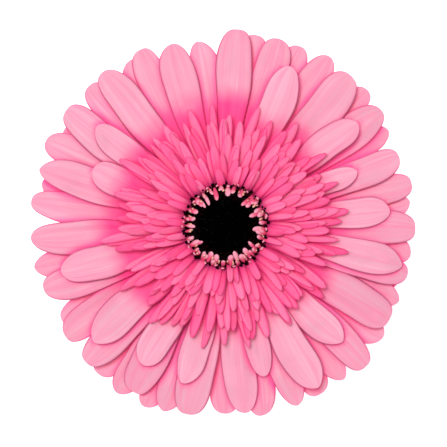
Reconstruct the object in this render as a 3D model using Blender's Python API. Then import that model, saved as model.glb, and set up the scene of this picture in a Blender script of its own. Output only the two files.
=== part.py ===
"""A cut gerbera bloom, lying face up on the cut end of its short stem stub.

The bloom is built outward from its base: a solid receptacle grown in one with the stub of the
stem, two whorls of green bracts under it, fifty ray petals set in three levels around its rim,
a front whorl of wider ray petals, four nested crowns of short trans petals, a crown of disc
florets and the dark dome of closed buds in the middle.

Lengths are in millimetres, and SCALE turns them into metres. The flower's axis is Z, and the
whole bloom hangs on one empty that puts the middle of its outline over the origin.
"""

import math
import random

import bmesh
import bpy

SCALE = 0.001

# Flower base: the stem stub, the cup above it and the rim that the petals stand against.
STUB_RADIUS = 4.0
STUB_HEIGHT = 4.5
RIM_RADIUS = 13.3
RIM_BOTTOM = 12.6
PLATE_HEIGHT = 17.2
STUB_FLARE = (STUB_RADIUS + 1.0, STUB_HEIGHT + 1.5)
CUP_POINTS = ((8.0, 8.2), (11.5, 10.6))
TURNED_SIDES = 32

# An edge sharper than this is left sharp, in degrees.
SHARP_ANGLE = 50.0

# Every piece stands off the piece that carries it by this much.
SEAT_GAP = 0.3

# Ray petals: blade thickness, how far the edges hang below the midrib, and the arch of the blade.
BLADE = 0.5
EDGE_DROP = 0.4
CLAW_WIDTH = 1.8
TIP_WIDTH = 1.3
WIDEST_AT = 0.68
WIDENING_POWER = 1.5
ROUNDING_POWER = 2.4
ARCH_RISE = 9.0
ARCH_FALL = 6.2
ARCH_REACH = 55.0
BLADE_STATIONS = (0.0, 0.17, 0.38, 0.62, 0.8, 0.93, 1.0)
BLADE_ACROSS = (-1.0, -0.36, 0.36, 1.0)

# Height of each level's claw at the rim, and how much further the levels part on the way out.
# Levels 0 to 2 are the separate ray petals, and level 3 is the front whorl.
CLAW_TOP = (13.9, 15.15, 16.4, 18.0)
LEVEL_SPREAD = (0.0, 0.35, 0.7, 0.7)
SPREAD_LENGTH = 12.0

# Ray petals, anticlockwise: angle of the tip in degrees, reach from the axis, width, level.
RAY_PETALS = (
    (-0.8, 54.3, 9.5, 2),
    (6.8, 53.4, 8.9, 0),
    (13.8, 54.7, 8.4, 1),
    (21.7, 53.4, 8.4, 2),
    (30.8, 54.3, 8.6, 0),
    (35.8, 55.7, 10.1, 1),
    (43.8, 56.4, 8.9, 0),
    (50.3, 56.0, 10.4, 2),
    (59.2, 57.0, 9.1, 1),
    (67.0, 55.9, 8.9, 0),
    (74.2, 55.8, 9.4, 1),
    (80.4, 55.5, 8.6, 0),
    (87.1, 56.4, 9.8, 2),
    (97.9, 53.4, 8.9, 1),
    (107.1, 54.3, 9.6, 2),
    (115.0, 56.1, 9.1, 1),
    (120.2, 54.9, 8.9, 0),
    (127.9, 56.3, 9.5, 2),
    (135.0, 56.1, 9.1, 1),
    (144.2, 56.3, 9.4, 2),
    (148.3, 54.0, 8.6, 0),
    (154.6, 57.0, 8.9, 1),
    (163.2, 55.7, 9.4, 2),
    (167.1, 54.2, 8.6, 0),
    (173.3, 56.1, 8.9, 1),
    (184.0, 55.8, 9.1, 2),
    (192.5, 56.1, 8.9, 1),
    (200.0, 55.1, 9.5, 2),
    (209.8, 54.3, 8.9, 0),
    (214.8, 55.8, 9.4, 1),
    (224.2, 55.8, 9.8, 2),
    (229.8, 56.1, 8.9, 0),
    (237.5, 57.1, 9.1, 1),
    (241.5, 54.3, 10.0, 2),
    (245.8, 56.9, 9.1, 0),
    (251.8, 56.0, 9.1, 1),
    (258.8, 55.0, 10.0, 2),
    (269.6, 53.9, 9.4, 0),
    (275.7, 53.7, 9.1, 2),
    (281.3, 55.3, 9.1, 1),
    (291.8, 55.3, 9.1, 2),
    (299.2, 55.4, 8.9, 0),
    (308.5, 55.5, 8.9, 1),
    (315.7, 56.8, 8.9, 2),
    (324.3, 55.4, 8.9, 0),
    (330.2, 54.0, 10.2, 2),
    (337.1, 54.2, 9.1, 1),
    (341.5, 52.1, 8.4, 0),
    (345.4, 53.9, 8.9, 2),
    (350.8, 53.7, 8.9, 1),
)

# Front whorl, on one thin ring: angle of the tip, reach from the axis, width.
FRONT_PETALS = (
    (5.4, 47.1, 8.2),
    (23.3, 40.6, 6.2),
    (37.5, 47.7, 8.4),
    (67.5, 49.1, 9.4),
    (141.7, 46.4, 7.6),
    (157.2, 41.1, 8.4),
    (195.0, 48.6, 9.4),
    (220.8, 50.0, 9.8),
    (239.6, 46.0, 8.8),
    (255.4, 46.4, 8.0),
    (284.6, 44.3, 6.8),
    (299.4, 53.1, 9.6),
    (315.0, 46.9, 8.6),
    (347.5, 51.6, 8.8),
)
FRONT_RING = (12.5, 13.0, PLATE_HEIGHT + SEAT_GAP, CLAW_TOP[3])
FRONT_CLAW = 2.4
FRONT_START = RIM_RADIUS + 2.0

# Trans petals that grew longer than their neighbours: angle and reach.
LONG_PETALS = ((55.4, 36.9), (112.5, 39.7), (322.0, 36.9), (340.4, 38.3))
LONG_PETAL_WIDTH = 4.0

# Green bracts: ring (inner radius, outer radius, bottom, top), then radius, height and width
# at the middle and at the tip, the number of bracts and how much their reach varies.
BRACT_WHORLS = {
    "bracts_outer": ((7.4, 8.2, 6.8, 7.35), (11.0, 8.0, 3.5), (15.8, 11.0, 0.9), 17, 0.5),
    "bracts_inner": ((10.6, 11.4, 8.85, 9.4), (13.9, 12.2, 4.2), (19.2, 13.5, 1.0), 19, 0.8),
}

# Trans petals, outermost crown first, in the same form as the bracts.
FLOOR = PLATE_HEIGHT + SEAT_GAP
TRANS_CROWNS = {
    "trans_petals_outer": ((11.7, 12.15, FLOOR, 20.0), (23.0, 22.8, 3.5), (31.6, 23.9, 0.9), 36, 1.8),
    "trans_petals_second": ((10.95, 11.4, FLOOR, 21.8), (19.6, 24.4, 3.2), (27.0, 25.5, 0.8), 34, 1.8),
    "trans_petals_third": ((10.2, 10.65, FLOOR, 23.4), (16.6, 25.8, 3.0), (22.4, 26.9, 0.7), 30, 1.5),
    "trans_petals_inner": ((9.45, 9.9, FLOOR, 24.6), (13.7, 27.2, 2.7), (17.8, 28.2, 0.6), 26, 1.3),
}
DISC_CROWN = ((8.4, 9.1, FLOOR, 25.0), (10.1, 26.9, 1.0), (11.7, 28.3, 0.5), 38, 0.5)

# The share of a crown's ring that its florets grow from, and how far each crown is turned from
# the one outside it, in degrees.
CLAW_SHARE = 0.72
CROWN_TURN = 3.0

# Closed buds: radius of the bundle and how much narrower its foot is, height of its shoulder and
# of the top of its dome, and where the dome's rings lie, in degrees above the shoulder.
BUD_RADIUS = 8.0
BUD_TAPER = 0.6
DOME_RINGS = (0, 20, 40, 58, 74)
BUD_SHOULDER = 23.8
BUD_TOP = 26.2

SEED = 29

# Colours (linear), roughness.
PETAL_PINK = ((0.93, 0.36, 0.50), 0.55)
FRONT_PINK = ((0.94, 0.42, 0.56), 0.55)
TRANS_PINK = ((0.92, 0.12, 0.28), 0.55)
DISC_PINK = ((0.80, 0.22, 0.33), 0.6)
BUD_BLACK = ((0.012, 0.004, 0.004), 0.7)
BRACT_GREEN = ((0.13, 0.22, 0.05), 0.65)
BASE_GREEN = ((0.22, 0.33, 0.09), 0.6)


def material(name, look):
    """A non-metallic Principled material of one colour and roughness."""
    colour, roughness = look
    made = bpy.data.materials.new(name)
    made.use_nodes = True
    shader = made.node_tree.nodes["Principled BSDF"]
    shader.inputs["Base Color"].default_value = (*colour, 1.0)
    shader.inputs["Roughness"].default_value = roughness
    shader.inputs["Metallic"].default_value = 0.0
    made.diffuse_color = (*colour, 1.0)
    return made


def finish(name, body, look, parent, turn=0.0):
    """Closes the bmesh into a smooth-shaded object of its own, turned about the flower's axis."""
    bmesh.ops.recalc_face_normals(body, faces=body.faces)
    mesh = bpy.data.meshes.new(name)
    body.to_mesh(mesh)
    body.free()
    mesh.shade_smooth()
    mesh.set_sharp_from_angle(angle=math.radians(SHARP_ANGLE))
    mesh.materials.append(material(name, look))
    made = bpy.data.objects.new(name, mesh)
    made.rotation_euler.z = turn
    made.parent = parent
    bpy.context.scene.collection.objects.link(made)
    return made


def vertex(body, x, y, z):
    return body.verts.new((x * SCALE, y * SCALE, z * SCALE))


def polar(body, radius, angle, z):
    return vertex(body, radius * math.cos(angle), radius * math.sin(angle), z)


def strip(body, row, next_row):
    """Quads between two rows of vertices."""
    for a, b, c, d in zip(row, row[1:], next_row[1:], next_row):
        body.faces.new((a, b, c, d))


def turned(name, profile, look, parent):
    """A solid of revolution from (radius, height) points, the first and last on the axis."""
    body = bmesh.new()
    steps = [2 * math.pi * side / TURNED_SIDES for side in range(TURNED_SIDES)]
    bottom = polar(body, 0.0, 0.0, profile[0][1])
    top = polar(body, 0.0, 0.0, profile[-1][1])
    rings = [[polar(body, radius, angle, z) for angle in steps] for radius, z in profile[1:-1]]
    for ring, next_ring in zip(rings, rings[1:]):
        strip(body, ring + ring[:1], next_ring + next_ring[:1])
    for ring, pole in ((rings[0], bottom), (rings[-1], top)):
        for a, b in zip(ring, ring[1:] + ring[:1]):
            body.faces.new((a, b, pole))
    return finish(name, body, look, parent)


def flower_base(parent):
    """The stem stub with its cut face, the cup of the involucre and the flat receptacle."""
    profile = (
        (0.0, 0.0),
        (STUB_RADIUS, 0.0),
        (STUB_RADIUS, STUB_HEIGHT),
        STUB_FLARE,
        *CUP_POINTS,
        (RIM_RADIUS, RIM_BOTTOM),
        (RIM_RADIUS, PLATE_HEIGHT),
        (0.0, PLATE_HEIGHT),
    )
    return turned("flower_base", profile, BASE_GREEN, parent)


def centre_buds(parent):
    """The bundle of closed buds: upright sides and a low dome."""
    rise = BUD_TOP - BUD_SHOULDER
    arc = [math.radians(degrees) for degrees in DOME_RINGS]
    dome = [(BUD_RADIUS * math.cos(a), BUD_SHOULDER + rise * math.sin(a)) for a in arc]
    profile = [(0.0, FLOOR), (BUD_RADIUS - BUD_TAPER, FLOOR), *dome, (0.0, BUD_TOP)]
    return turned("centre_buds", profile, BUD_BLACK, parent)


def level_height(level, radius):
    """Top of a ray petal's midrib at this radius: it arches up from the rim and levels out."""
    along = (radius - RIM_RADIUS) / (ARCH_REACH - RIM_RADIUS)
    arch = ARCH_RISE * along - ARCH_FALL * along * along
    parted = min(1.0, max(0.0, radius - RIM_RADIUS) / SPREAD_LENGTH)
    return CLAW_TOP[level] + arch + LEVEL_SPREAD[level] * parted


def petal_width(t, width, claw):
    """Width at t of the way to the tip: a narrow claw, widest at two thirds, a rounded point."""
    growth = math.sin(math.pi / 2 * min(1.0, t / WIDEST_AT)) ** WIDENING_POWER
    full = claw + (width - claw) * growth
    past = max(0.0, (t - WIDEST_AT) / (1 - WIDEST_AT))
    return max(TIP_WIDTH, full * math.sqrt(1 - past**ROUNDING_POWER))


def petal_rows(body, start, reach, width, claw, level, place):
    """Upper and lower rows of a ray petal's vertices, one pair for each station after the claw."""
    rows = []
    for t in BLADE_STATIONS:
        radius = start + t * (reach - start)
        half = petal_width(t, width, claw) / 2
        top = level_height(level, radius)
        drop = EDGE_DROP * (2 * half / width) ** 2
        upper = [place(body, radius, u * half, top - drop * u * u) for u in BLADE_ACROSS]
        lower = [place(body, radius, u * half, top - drop * u * u - BLADE) for u in BLADE_ACROSS]
        rows.append((upper, lower))
    return rows


def skin(body, rows):
    """Faces of a blade between its pairs of rows, with the far end closed."""
    for (upper, lower), (next_upper, next_lower) in zip(rows, rows[1:]):
        strip(body, upper, next_upper)
        strip(body, lower, next_lower)
        strip(body, [upper[0], lower[0]], [next_upper[0], next_lower[0]])
        strip(body, [upper[-1], lower[-1]], [next_upper[-1], next_lower[-1]])
    strip(body, *rows[-1])


def ray_petal(number, angle, reach, width, level, parent):
    """One ray petal, built along X and turned to its place."""
    body = bmesh.new()
    start = RIM_RADIUS + SEAT_GAP
    rows = petal_rows(body, start, reach, width, CLAW_WIDTH, level, vertex)
    skin(body, rows)
    strip(body, *rows[0])
    return finish(f"ray_petal_{number:02d}", body, PETAL_PINK, parent, math.radians(angle))


def ring_columns(body, florets, ring, across):
    """The crown's ring: four vertices in each column, with one column under each row of a floret.

    It returns every column in order, as (floret or None, vertices).
    """
    inner, outer, bottom, top = ring
    corners = ((inner, bottom), (outer, bottom), (outer, top), (inner, top))
    angles = []
    for index, (angle, claw) in enumerate(florets):
        half = claw / 2 / outer
        angles += [(math.radians(angle) + u * half, index) for u in across]
    first = angles[0][0]
    columns = []
    ends = angles[1:] + [(first + 2 * math.pi, None)]
    for (angle, index), (following, next_index) in zip(angles, ends):
        gap = 0.0 if index == next_index else following - angle
        fillers = int(gap * TURNED_SIDES / (2 * math.pi))
        for step in range(fillers + 1):
            at = angle + gap * step / (fillers + 1)
            owner = None if step else index
            columns.append((owner, [polar(body, radius, at, z) for radius, z in corners]))
    return columns


def ring_faces(body, columns):
    """Closes the ring, leaving its top open only where a floret grows from it."""
    for (owner, column), (next_owner, next_column) in zip(columns, columns[1:] + columns[:1]):
        strip(body, column, next_column)
        strip(body, [column[3], column[0]], [next_column[3], next_column[0]])
        if owner is not None and owner == next_owner:
            body.faces.remove(body.faces.get((column[2], column[3], next_column[3], next_column[2])))


def front_whorl(parent):
    """The wide ray petals in front of the others, on the thin ring that they grow from."""
    body = bmesh.new()
    florets = [(angle, FRONT_CLAW) for angle, _, _ in FRONT_PETALS]
    columns = ring_columns(body, florets, FRONT_RING, BLADE_ACROSS)
    ring_faces(body, columns)
    for index, (angle, reach, width) in enumerate(FRONT_PETALS):
        turn = math.radians(angle)
        cos, sin = math.cos(turn), math.sin(turn)

        def place(mesh, x, y, z, cos=cos, sin=sin):
            return vertex(mesh, x * cos - y * sin, x * sin + y * cos, z)

        own = [column for owner, column in columns if owner == index]
        claw = ([column[3] for column in own], [column[2] for column in own])
        rows = petal_rows(body, FRONT_START, reach, width, FRONT_CLAW, 3, place)
        skin(body, [claw, *rows])
    return finish("front_ray_petals", body, FRONT_PINK, parent)


def crown(name, shape, look, parent, dice, turn=0.0, longer=()):
    """A ring of short florets or bracts, each widest at its middle station."""
    ring, middle, tip, count, vary = shape
    body = bmesh.new()
    pitch = 360.0 / count
    angles = [turn + pitch * index for index in range(count)]
    claw = CLAW_SHARE * 2 * math.pi * ring[1] / count
    columns = ring_columns(body, [(angle, claw) for angle in angles], ring, (-1.0, 1.0))
    ring_faces(body, columns)
    for index, angle in enumerate(angles):
        own = [column for owner, column in columns if owner == index]
        rows = [([column[3] for column in own], [column[2] for column in own])]
        grow = dice.uniform(-vary, vary)
        wide = middle[2]
        for long_angle, reach in longer:
            if abs((long_angle - angle + 180) % 360 - 180) < pitch / 2:
                grow = reach - tip[0]
                wide = LONG_PETAL_WIDTH
        for part, width, radius, z in (
            (0.5, wide, middle[0], middle[1]),
            (1.0, tip[2], tip[0], tip[1]),
        ):
            radius += part * grow
            half = width / 2 / radius
            sides = (math.radians(angle) - half, math.radians(angle) + half)
            upper = [polar(body, radius, side, z) for side in sides]
            lower = [polar(body, radius, side, z - BLADE) for side in sides]
            rows.append((upper, lower))
        skin(body, rows)
    return finish(name, body, look, parent)


def middle_of(pieces):
    """The middle, in X and Y, of the box around all the pieces, in metres."""
    bpy.context.view_layer.update()
    points = [piece.matrix_world @ v.co for piece in pieces for v in piece.data.vertices]
    return [(min(p[axis] for p in points) + max(p[axis] for p in points)) / 2 for axis in (0, 1)]


def main():
    for old in list(bpy.data.objects):
        bpy.data.objects.remove(old)
    bloom = bpy.data.objects.new("bloom", None)
    bpy.context.scene.collection.objects.link(bloom)
    dice = random.Random(SEED)

    pieces = [flower_base(bloom), centre_buds(bloom), front_whorl(bloom)]
    for number, (angle, reach, width, level) in enumerate(RAY_PETALS, start=1):
        pieces.append(ray_petal(number, angle, reach, width, level, bloom))
    for name, shape in BRACT_WHORLS.items():
        pieces.append(crown(name, shape, BRACT_GREEN, bloom, dice))
    for order, (name, shape) in enumerate(TRANS_CROWNS.items()):
        longer = () if order else LONG_PETALS
        pieces.append(crown(name, shape, TRANS_PINK, bloom, dice, order * CROWN_TURN, longer))
    pieces.append(crown("disc_florets", DISC_CROWN, DISC_PINK, bloom, dice))

    across, along = middle_of(pieces)
    bloom.location = (-across, -along, 0.0)


main()
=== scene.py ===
"""A cut pink gerbera bloom, lying face up on its short stem stub.

Every petal, bract, floret and bud is made over the solid that holds its place: the long ray
petals from the outlines of their own solids, and what repeats in rings from geometry trees.
"""

import math

import bmesh
import bpy
import numpy as np
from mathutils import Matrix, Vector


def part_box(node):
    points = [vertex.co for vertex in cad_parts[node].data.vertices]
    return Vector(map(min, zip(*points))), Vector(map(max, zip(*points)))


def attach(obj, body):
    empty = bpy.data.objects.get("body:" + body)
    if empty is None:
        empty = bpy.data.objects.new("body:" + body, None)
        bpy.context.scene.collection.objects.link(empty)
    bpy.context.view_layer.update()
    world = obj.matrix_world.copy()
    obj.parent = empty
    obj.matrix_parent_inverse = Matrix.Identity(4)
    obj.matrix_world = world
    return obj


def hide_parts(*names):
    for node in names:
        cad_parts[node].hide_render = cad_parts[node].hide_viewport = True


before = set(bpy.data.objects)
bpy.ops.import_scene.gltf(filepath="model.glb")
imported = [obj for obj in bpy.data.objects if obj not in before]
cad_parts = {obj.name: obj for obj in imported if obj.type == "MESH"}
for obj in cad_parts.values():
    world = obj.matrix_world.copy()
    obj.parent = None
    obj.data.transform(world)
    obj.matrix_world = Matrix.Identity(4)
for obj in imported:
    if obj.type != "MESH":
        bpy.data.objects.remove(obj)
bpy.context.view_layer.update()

bl_info = {
    "name": "Gerbera bloom",
    "version": (1, 0, 0),
    "blender": (4, 5, 0),
    "location": "3D View > Sidebar > Bloom",
    "description": "Builds a cut gerbera bloom, ring by ring, over its solid model",
    "category": "Object",
}

MM = 0.001
BODY = "root"
FULL_REACH = 55.0 * MM


def middle_of(node):
    """The middle of a node's box, in X and Y."""
    low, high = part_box(node)
    return ((low[0] + high[0]) / 2, (low[1] + high[1]) / 2)


AXIS = middle_of("flower_base")


# ---- Settings ------------------------------------------------------


def length(name, default, description):
    return bpy.props.FloatProperty(
        name=name, description=description, default=default, min=0.0, unit="LENGTH", precision=5
    )


def colour(name, default, description):
    return bpy.props.FloatVectorProperty(
        name=name, description=description, default=default, subtype="COLOR", min=0.0, max=1.0
    )


class RayPetalSettings(bpy.types.PropertyGroup):
    thickness: length("Thickness", 0.40 * MM, "Thickness of a ray petal at its midrib")
    groove: length("Groove depth", 0.09 * MM, "Depth of the two grooves along a ray petal")
    edge_drop: length("Edge drop", 0.15 * MM, "How far a petal's edges bend down")
    pale: colour("Blade", (0.78, 0.365, 0.48), "Colour of the outer blade")
    lilac: colour("Lilac", (0.90, 0.425, 0.55), "Colour of the paler, lilac patches")
    hot: colour("Base", (0.98, 0.060, 0.27), "Colour towards the petal's base")
    # Painted shade: the deep pink laid beside and under a petal that lies over this one.
    deep: colour("Painted shade", (1.0, 0.06, 0.31), "Colour beside a petal that lies over this one")
    back: colour("Back", (0.97, 0.24, 0.42), "Colour of the underside")


class TransPetalSettings(bpy.types.PropertyGroup):
    thickness: length("Thickness", 0.46 * MM, "Thickness of a trans petal")
    pink: colour("Petal", (0.98, 0.10, 0.28), "Colour of the trans petals")
    light: colour("Tip", (0.99, 0.22, 0.40), "Colour of their lighter ends")
    # Painted shade on the trans petals' rims and bases; the same colour also tints their real
    # lengthwise streaks.
    deep: colour("Deep", (1.0, 0.045, 0.25), "Colour of their rims and bases")
    seed: bpy.props.IntProperty(name="Seed", description="Seed of the rings' scatter", default=5)


class CentreSettings(bpy.types.PropertyGroup):
    lobe: colour("Lobe", (0.94, 0.34, 0.46), "Colour of the disc florets' pale lobes")
    lobe_deep: colour("Lobe base", (0.80, 0.08, 0.20), "Colour of the lobes towards their base")
    style: colour("Style", (0.90, 0.52, 0.38), "Colour of the cream styles")
    style_foot: colour("Style foot", (0.42, 0.012, 0.03), "Colour of the styles towards their foot")
    anther: colour("Anther", (0.007, 0.0008, 0.0016), "Colour of the dark anthers")
    bud: colour("Bud", (0.0007, 0.0004, 0.0005), "Colour of the closed buds")


class GreenSettings(bpy.types.PropertyGroup):
    bract: colour("Bract", (0.10, 0.19, 0.035), "Colour of the green bracts")
    bract_tip: colour("Bract tip", (0.20, 0.10, 0.045), "Colour of the bracts' dry tips")
    stem: colour("Stem", (0.21, 0.34, 0.085), "Colour of the stem stub")
    # Painted shade: the near-black top of the cup between and under the florets.
    shaded_top: colour("Shaded top", (0.004, 0.0006, 0.001), "Colour of the base's top between the florets")
    pith: colour("Pith", (0.62, 0.66, 0.40), "Colour of the pith in the cut face")
    hair: colour("Hair", (0.72, 0.74, 0.60), "Colour of the fine hairs")


class StageSettings(bpy.types.PropertyGroup):
    distance: length("Camera distance", 0.72, "Height of the camera above the floor")
    view_width: length("View width", 0.1277, "Width that the camera takes in at the petals")
    key_power: bpy.props.FloatProperty(
        name="Key light", description="Power of the soft key light", default=6.0, unit="POWER"
    )
    room: bpy.props.FloatProperty(
        name="Room light", description="Strength of the white room", default=0.42
    )


# ---- Node trees ----------------------------------------------------


def term(operation, reflected=False):
    """A method of a wire that adds a Math node for it and another wire or number."""

    def method(self, other):
        pair = (other, self) if reflected else (self, other)
        return self.board.maths(operation, *pair)

    return method


class Wire:
    """An output of a node. Sums on it add Math nodes to its tree."""

    def __init__(self, board, socket):
        self.board = board
        self.socket = socket

    def out(self, name):
        """Another output of the same node."""
        return Wire(self.board, self.socket.node.outputs[name])

    __add__, __radd__ = term("ADD"), term("ADD", reflected=True)
    __sub__, __rsub__ = term("SUBTRACT"), term("SUBTRACT", reflected=True)
    __mul__, __rmul__ = term("MULTIPLY"), term("MULTIPLY", reflected=True)
    __truediv__, __rtruediv__ = term("DIVIDE"), term("DIVIDE", reflected=True)
    __pow__ = term("POWER")

    def __neg__(self):
        return self * -1.0


class Board:
    """A node tree under construction."""

    def __init__(self, tree):
        self.tree = tree

    def add(self, kind, settings=None, sockets=None):
        """A node of this type: its settings, then the values or links of its sockets."""
        node = self.tree.nodes.new(kind)
        for name, value in (settings or {}).items():
            setattr(node, name, value)
        for name, value in (sockets or {}).items():
            if isinstance(value, Wire):
                self.tree.links.new(value.socket, node.inputs[name])
            else:
                node.inputs[name].default_value = value
        return Wire(self, node.outputs[0])

    def maths(self, operation, *terms):
        return self.add("ShaderNodeMath", {"operation": operation}, dict(enumerate(terms)))

    def size_of(self, value):
        """The value without its sign."""
        return self.maths("ABSOLUTE", value)

    def vector(self, x, y, z):
        return self.add("ShaderNodeCombineXYZ", None, {"X": x, "Y": y, "Z": z})

    def step(self, value, low, high):
        """0 below low, 1 above high, smooth between."""
        sockets = {"Value": value, "From Min": low, "From Max": high}
        return self.add("ShaderNodeMapRange", {"interpolation_type": "SMOOTHSTEP"}, sockets)


# Sockets of a Mix node that is set to colours.
MIX_FACTOR, MIX_A, MIX_B, MIX_RESULT = 0, 6, 7, 2


class Finish(Board):
    """A Principled material under construction."""

    def __init__(self, name):
        self.material = bpy.data.materials.new(name)
        self.material.use_nodes = True
        super().__init__(self.material.node_tree)
        self.shader = self.tree.nodes["Principled BSDF"]
        self.place = self.add("ShaderNodeTexCoord").out("Object")

    def noise(self, scale, detail, place=None):
        sockets = {"Vector": place or self.place, "Scale": scale, "Detail": detail}
        return self.add("ShaderNodeTexNoise", None, sockets)

    def attributes(self, *names):
        """The values that the piece's own mesh holds under these names."""
        nodes = [self.add("ShaderNodeAttribute", {"attribute_name": name}) for name in names]
        return [node.out("Fac") for node in nodes]

    def mix(self, factor, first, second):
        """The first colour, with this share of the second."""
        colours = {
            index: value if isinstance(value, Wire) else (*value, 1.0)
            for index, value in ((MIX_A, first), (MIX_B, second))
        }
        mixed = self.add("ShaderNodeMix", {"data_type": "RGBA"}, {MIX_FACTOR: factor, **colours})
        return mixed.out(MIX_RESULT)

    def bump(self, height, distance, strength):
        sockets = {"Height": height, "Distance": distance, "Strength": strength}
        return self.add("ShaderNodeBump", None, sockets)

    def done(self, **sockets):
        """Sets the shader's sockets, named with _ for a space, and returns the material."""
        for key, value in sockets.items():
            socket = self.shader.inputs[key.replace("_", " ")]
            if isinstance(value, Wire):
                self.tree.links.new(value.socket, socket)
            else:
                socket.default_value = value
        return self.material


# ---- Finishes ------------------------------------------------------


def shade(tint, shares):
    """A colour made lighter or darker by a share for each of its channels."""
    return tuple(min(1.0, channel * share) for channel, share in zip(tint, shares))


def streaks_of(finish, across, along, tone, lanes):
    """Irregular lengthwise streaks, fine and broad, different on every petal, around 0.5."""
    places = [
        finish.vector(across * width, along * run, tone * 7.0 + width)
        for width, run in ((lanes * 2.6, 1.6), (lanes * 0.7, 0.8))
    ]
    fine, broad = (finish.noise(1.0, 2.0, place) for place in places)
    return finish.step(fine, 0.3, 0.7), finish.step(broad, 0.3, 0.7)


# The light that spreads inside a petal.
PETAL_LIGHT = {
    "Subsurface_Weight": 0.15,
    "Subsurface_Radius": (1.0, 0.35, 0.45),
    "Subsurface_Scale": 1.0 * MM,
}

# The side of the bloom whose ray petals are flushed further out, and by how much of their reach.
FLUSH_SIDE = (-0.4, 0.9, 0.0)
FLUSH_SHARE = 0.07


def ray_petal_finish(looks):
    """Soft pink petal skin: hot at the base, pale and a little lilac outside, finely veined, with
    painted shade in hot pink along its edges and in deep pink beside the petals that lie over it.
    """
    finish = Finish("ray_petal_skin")
    across, along, tone = finish.attributes("across", "along", "tone")
    under, out, overlap_shade = finish.attributes("under", "out", "overlap_shade")
    fine, broad = streaks_of(finish, across, along, tone, 5.0)
    patches = finish.noise(110.0, 2.0)
    grain = finish.noise(2600.0, 4.0)

    lilac = finish.step(patches + tone * 0.16, 0.42, 0.68)
    tint = finish.mix(lilac * 0.75, looks.pale, looks.lilac)
    toward_flush_side = finish.add(
        "ShaderNodeVectorMath", {"operation": "DOT_PRODUCT"}, {0: finish.place, 1: FLUSH_SIDE}
    ).out("Value")
    begin = out + (patches - 0.5) * 0.10 + tone * 0.05 - toward_flush_side * (FLUSH_SHARE / FULL_REACH)
    flush = 1.0 - finish.step(begin, 0.53, 0.68)
    tint = finish.mix(flush, tint, looks.hot)
    streak = broad * 0.24 + fine * 0.16
    tint = finish.mix(streak * (0.4 + patches), tint, looks.hot)
    edge = finish.size_of(across)
    # Painted shade: a thin hot pink band along the petal's edge stands in for the contour shadow
    # there.
    rim = finish.step(edge, 0.80, 1.0) * 0.25 + finish.step(edge, 0.92, 1.0) * 0.5
    tint = finish.mix(rim, tint, looks.hot)
    # Painted shade: deep pink beside and under the petals that lie over this one.
    tint = finish.mix(overlap_shade * 0.85, tint, looks.deep)
    tint = finish.mix(under * 0.7, tint, looks.back)

    height = fine * 0.35 + broad * 0.5 + grain * 0.35
    return finish.done(
        Base_Color=tint,
        Roughness=0.46 + patches * 0.10 + fine * 0.04,
        Normal=finish.bump(height, 0.05 * MM, 0.55),
        **PETAL_LIGHT,
        Specular_IOR_Level=0.22,
        Sheen_Weight=0.05,
        Sheen_Roughness=0.45,
    )


def trans_petal_finish(looks):
    """Hot pink of the short inner petals, lighter towards their blunt ends, with painted shade in
    deep pink on their rims and bases.
    """
    finish = Finish("trans_petal_skin")
    across, along, tone = finish.attributes("across", "along", "tone")
    fine, broad = streaks_of(finish, across, along, tone, 3.0)
    patches = finish.noise(420.0, 2.0)
    grain = finish.noise(2600.0, 3.0)
    face = finish.step(along + tone * 0.10, 0.30, 0.80) * (0.5 + 0.6 * patches + 0.6 * tone)
    tint = finish.mix(face, looks.pink, looks.light)
    # Painted shade: deep pink at the petal's covered base and along its rims; the groove streaks add
    # real lengthwise colour.
    base = 1.0 - finish.step(along, 0.12, 0.55)
    rim = finish.step(finish.size_of(across), 0.55, 1.0)
    groove = broad * 0.30 + fine * 0.15
    tint = finish.mix(base * 0.6 + rim * 0.62 + groove, tint, looks.deep)
    height = fine * 0.4 + broad * 0.5 + grain * 0.3
    return finish.done(
        Base_Color=tint,
        Roughness=0.44 + patches * 0.12,
        Normal=finish.bump(height, 0.05 * MM, 0.5),
        **PETAL_LIGHT,
        Specular_IOR_Level=0.14,
    )


def lobe_finish(looks):
    """Pale pink lobes of the disc florets, deep pink at the base."""
    finish = Finish("disc_lobe_skin")
    along, tone = finish.attributes("along", "tone")
    patches = finish.noise(700.0, 2.0)
    pale = finish.step(along + tone * 0.30 + (patches - 0.5) * 0.2, 0.32, 0.85)
    tint = finish.mix(pale, looks.lobe_deep, looks.lobe)
    return finish.done(
        Base_Color=tint,
        Roughness=0.45 + patches * 0.1,
        Normal=finish.bump(patches, 0.05 * MM, 0.5),
        Subsurface_Weight=0.15,
        Subsurface_Radius=(1.0, 0.4, 0.5),
        Subsurface_Scale=0.6 * MM,
        Specular_IOR_Level=0.25,
    )


def style_finish(looks):
    """Cream styles, dark red towards the foot."""
    finish = Finish("style_skin")
    along, tone = finish.attributes("along", "tone")
    mottle = finish.noise(900.0, 2.0)
    pale = finish.step(along + tone * 0.25 + (mottle - 0.5) * 0.3, 0.45, 0.85)
    return finish.done(
        Base_Color=finish.mix(pale, looks.style_foot, looks.style),
        Roughness=0.5 + mottle * 0.15,
        Normal=finish.bump(mottle, 0.05 * MM, 0.4),
        Specular_IOR_Level=0.25,
    )


def dark_finish(name, tint, shine):
    """Near-black skin of the anthers and of the closed buds, with a faint mottle."""
    finish = Finish(name)
    mottle = finish.noise(900.0, 3.0)
    lighter = shade(tint, (2.5, 2.5, 2.5))
    return finish.done(
        Base_Color=finish.mix(finish.step(mottle, 0.45, 0.75), tint, lighter),
        Roughness=0.55 + mottle * 0.3,
        Normal=finish.bump(mottle, 0.08 * MM, 0.6),
        Specular_IOR_Level=shine,
    )


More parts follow.
